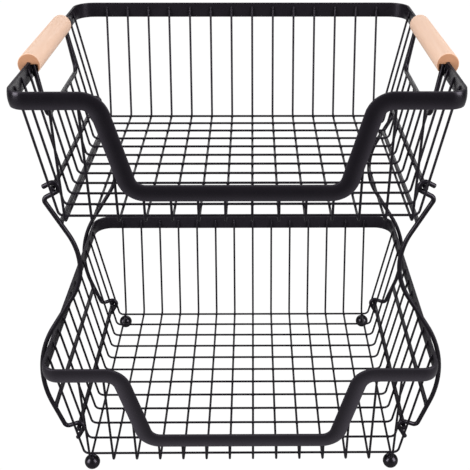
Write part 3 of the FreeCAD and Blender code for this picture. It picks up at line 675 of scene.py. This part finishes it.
def grip_wood():
    """Pale close-grained wood, the grain along the grip and its cut ends darker."""
    finish, tree, shader = new_finish("pale_grip_wood")
    low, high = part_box("upper_right_grip")
    middle = (low + high) / 2
    new, link = tree.nodes.new, tree.links.new
    place = new("ShaderNodeTexCoord")

    def noise(stretch, detail):
        spread = new("ShaderNodeMapping")
        spread.inputs["Scale"].default_value = stretch
        link(place.outputs["Object"], spread.inputs["Vector"])
        node = new("ShaderNodeTexNoise")
        set_inputs(node, {"Scale": 1.0, "Detail": detail})
        link(spread.outputs["Vector"], node.inputs["Vector"])
        return node.outputs["Fac"]

    def apart(vector):
        node = new("ShaderNodeSeparateXYZ")
        link(vector, node.inputs["Vector"])
        return node.outputs

    def sums(operation, one, two=None):
        return number(tree, operation, one, two)

    spot = apart(place.outputs["Object"])
    across = sums("SUBTRACT", sums("ABSOLUTE", spot["X"]), middle.x - PITH_ASIDE)
    upward = sums("SUBTRACT", spot["Z"], middle.z + PITH_UP)
    from_pith = sums("SQRT", sums("ADD", sums("POWER", across, 2), sums("POWER", upward, 2)))
    wander = sums("MULTIPLY", noise(**RING_WANDER), RING_PITCH)
    waves = sums("SINE", sums("MULTIPLY", sums("ADD", from_pith, wander), 2 * math.pi / RING_PITCH))
    rings = ranged(tree, waves, RING_RANGE)
    streaks = ranged(tree, noise(**STREAK_GRAIN), STREAK_RANGE)
    pores = ranged(tree, noise(**PORE_GRAIN), PORE_RANGE)
    side = mixed(tree, streaks, WOOD_PALE, WOOD_WARM)
    side = mixed(tree, sums("MULTIPLY", rings, RING_SHARE), side, WOOD_WARM)
    side = mixed(tree, sums("MULTIPLY", pores, PORE_SHARE), side, WOOD_FLECK)
    cut = mixed(tree, rings, WOOD_END, WOOD_END_RING)
    facing = apart(new("ShaderNodeNewGeometry").outputs["Normal"])
    end_on = ranged(tree, sums("ABSOLUTE", facing["Y"]), CUT_END_RANGE)
    link(mixed(tree, end_on, side, cut), shader.inputs["Base Color"])
    link(ranged(tree, streaks, WOOD_ROUGHNESS), shader.inputs["Roughness"])
    height = sums("ADD", streaks, sums("MULTIPLY", pores, -PORE_DEPTH))
    add_relief(tree, shader, height, WOOD_RELIEF)
    return finish


# Studio

def camera():
    """Camera at the photograph's place, with the shift of its frame."""
    data = bpy.data.cameras.new("photo_view")
    data.sensor_width = SENSOR
    data.lens = FOCAL_PIXELS * SENSOR / FRAME_PIXELS
    data.shift_x = (MIDDLE_PIXEL[0] - AXIS_PIXEL[0]) / FRAME_PIXELS
    data.shift_y = (AXIS_PIXEL[1] - MIDDLE_PIXEL[1]) / FRAME_PIXELS
    data.clip_end = CAMERA_REACH
    ahead = Vector((
        math.sin(CAMERA_YAW) * math.cos(CAMERA_DIP),
        math.cos(CAMERA_YAW) * math.cos(CAMERA_DIP),
        -math.sin(CAMERA_DIP),
    ))
    level = ahead.cross(UPWARD).normalized()
    above = level.cross(ahead)
    right = math.cos(CAMERA_ROLL) * level + math.sin(CAMERA_ROLL) * above
    up = right.cross(ahead)
    view = bpy.data.objects.new("photo_view", data)
    view.matrix_world = Matrix.Translation(CAMERA_AT) @ Matrix((right, up, -ahead)).transposed().to_4x4()
    bpy.context.scene.collection.objects.link(view)
    bpy.context.scene.camera = view


def floor():
    """Pale floor, full white to the camera; what the coats mirror of it grows paler to the back."""
    mesh = bmesh.new()
    bmesh.ops.create_grid(mesh, x_segments=1, y_segments=1, size=FLOOR_HALF)
    bmesh.ops.translate(mesh, verts=mesh.verts, vec=(0, 0, -FLOOR_DROP))
    finish, tree, shader = new_finish("pale_floor")
    finish.cycles.emission_sampling = "NONE"
    new, link = tree.nodes.new, tree.links.new
    place, apart = new("ShaderNodeTexCoord"), new("ShaderNodeSeparateXYZ")
    link(place.outputs["Object"], apart.inputs["Vector"])
    link(ranged(tree, apart.outputs["Y"], FLOOR_SWEEP), shader.inputs["Base Color"])
    set_inputs(shader, FLOOR_LOOK)
    paper = new("ShaderNodeEmission")
    paper.inputs["Strength"].default_value = FULL_WHITE
    seen, choice = new("ShaderNodeLightPath"), new("ShaderNodeMixShader")
    link(seen.outputs["Is Camera Ray"], choice.inputs["Fac"])
    link(shader.outputs["BSDF"], choice.inputs[1])
    link(paper.outputs["Emission"], choice.inputs[2])
    link(choice.outputs["Shader"], tree.nodes["Material Output"].inputs["Surface"])
    new_piece("pale_floor", mesh, finish)


def soft_box(name, place, width, height, watts):
    """Large soft lamp that is aimed at the basket and hidden from the camera."""
    data = bpy.data.lights.new(name, "AREA")
    data.shape = "RECTANGLE"
    data.size, data.size_y = width, height
    data.energy = watts
    lamp = bpy.data.objects.new(name, data)
    lamp.visible_camera = False
    aim = (LIGHT_TARGET - Vector(place)).to_track_quat("-Z", "Y")
    lamp.matrix_world = Matrix.Translation(place) @ aim.to_matrix().to_4x4()
    bpy.context.scene.collection.objects.link(lamp)


def studio():
    """Plain room, white to the camera and dim to all else, and its lamps."""
    world = bpy.data.worlds.new("soft_studio")
    world.use_nodes = True
    tree = world.node_tree
    sky = tree.nodes["Background"]
    sky.inputs["Color"].default_value = ROOM_COLOUR
    seen = tree.nodes.new("ShaderNodeLightPath")
    tree.links.new(ranged(tree, seen.outputs["Is Camera Ray"], ROOM_GLOW), sky.inputs["Strength"])
    bpy.context.scene.world = world
    bpy.context.scene.view_settings.view_transform = "Standard"
    for name, lamp in SOFT_BOXES.items():
        soft_box(name, **lamp)


# Assembly

SKIN = coat_skin()
COAT = coated("satin_black_coat", SKIN, **SATIN_LOOK)
BANDS = {
    tier: band_coat(tier + "_band_coat", SKIN, BAND_PAINTED_SHEEN[tier], **BAND_LOOK) for tier in TIER_BODY
}
BALL = coated("gloss_black_ball", SKIN, **BALL_LOOK)
FINISHES = {"frame_paint": COAT, "foot_paint": BALL, "grip_wood": grip_wood()}

for row in frame["record"]["subparts"]:
    solid = NODES[row["node"]]
    solid.data.materials.clear()
    solid.data.materials.append(FINISHES[row["material_slot"]])

for tier, body in TIER_BODY.items():
    band = coated_rim(tier + "_rim", BANDS[tier])
    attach(band, body)
    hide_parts(tier + "_rim")

TREE = lump_tree()
WELDS = {tier: crossing_welds(tier) + end_welds(tier) + rail_welds(tier) for tier in TIER_BODY}
WELDS["lower"] += frame_welds()
WELDS["upper"] += hand_welds()
RODS = [n for n in NODES if n.endswith(("_leg", "_rail"))]
for tier, body in TIER_BODY.items():
    lumps(tier + "_welds", TREE, WELDS[tier], WELD_UNEVENNESS, COAT, body)
    wires = wire_nodes(tier, "long") + wire_nodes(tier, "cross")
    rods = [n for n in RODS if n.startswith("upper_") == (tier == "upper")]
    ends = rounded_ends(wires, WIRE) + rounded_ends(rods, ROD)
    lumps(tier + "_rounded_ends", TREE, ends, 0.0, COAT, body)

camera()
floor()
studio()
